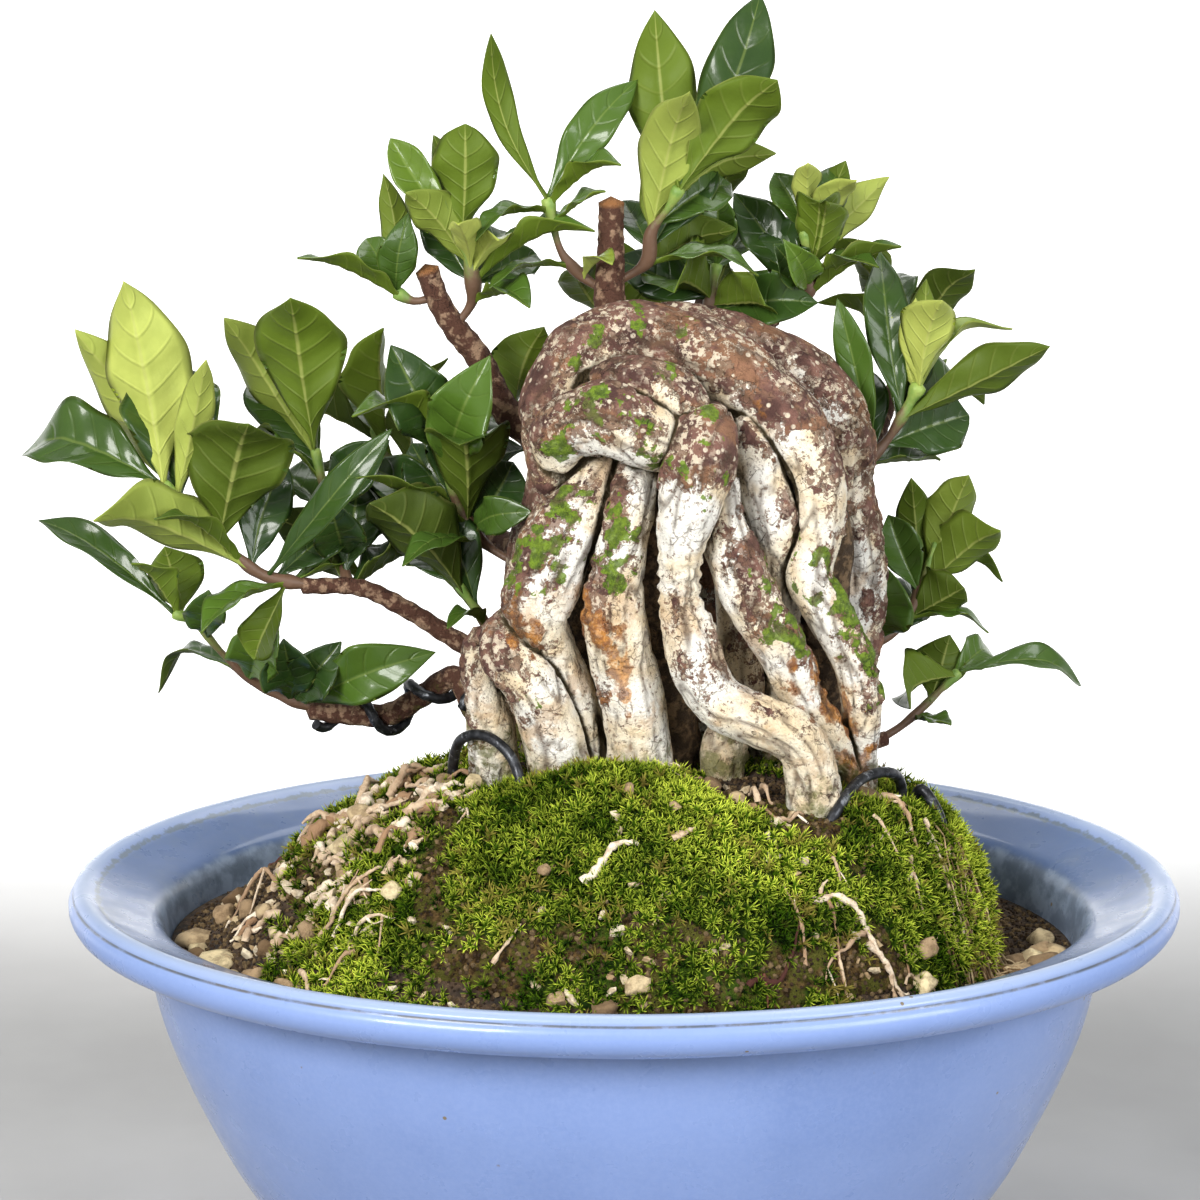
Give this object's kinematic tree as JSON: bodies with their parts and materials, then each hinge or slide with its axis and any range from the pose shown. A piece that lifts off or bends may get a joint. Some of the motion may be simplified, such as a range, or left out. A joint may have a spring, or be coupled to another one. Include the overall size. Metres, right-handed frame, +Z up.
{
  "type": "potted gardenia",
  "caption": "Gardenia grown as a bonsai over exposed, arched roots on a moss mound, with glossy leaves, in an oval glazed bowl pot with a dished rim.",
  "frame": {"origin": "middle of the pot's flat underside", "axes": "+Z up, +X along the pot's length to the right seen from the front, -Y towards the front"},
  "size_m": [0.2633, 0.2006, 0.295],
  "materials": {
    "glaze": "gloss",
    "plastic": "matte",
    "soil": "matte",
    "moss": "matte",
    "bark": "matte",
    "leaf": "satin",
    "wire": "satin"
  },
  "bodies": {
    "root": {"pot": "glaze", "drain_screen_left": "plastic", "drain_screen_right": "plastic", "soil": "soil", "moss": "moss", "wood": "bark", "wire_left": "wire", "wire_right": "wire", "wire_right_end": "wire", "wire_bough": "wire", "spray_leftTip": "leaf", "spray_leftMiddle": "leaf", "spray_innerLow": "leaf", "spray_innerLeft": "leaf", "spray_behindLeft": "leaf", "spray_leftLow": "leaf", "spray_crownLeft": "leaf", "spray_crownFarLeft": "leaf", "spray_crownTop": "leaf", "spray_crownRight": "leaf", "spray_crownBack": "leaf", "spray_rightTop": "leaf", "spray_rightMiddle": "leaf", "spray_rightLow": "leaf", "spray_rightFoot": "leaf", "spray_rearLeft": "leaf", "spray_rearMiddle": "leaf", "spray_rearRight": "leaf", "spray_rearTop": "leaf"}
  },
  "joints": []
}
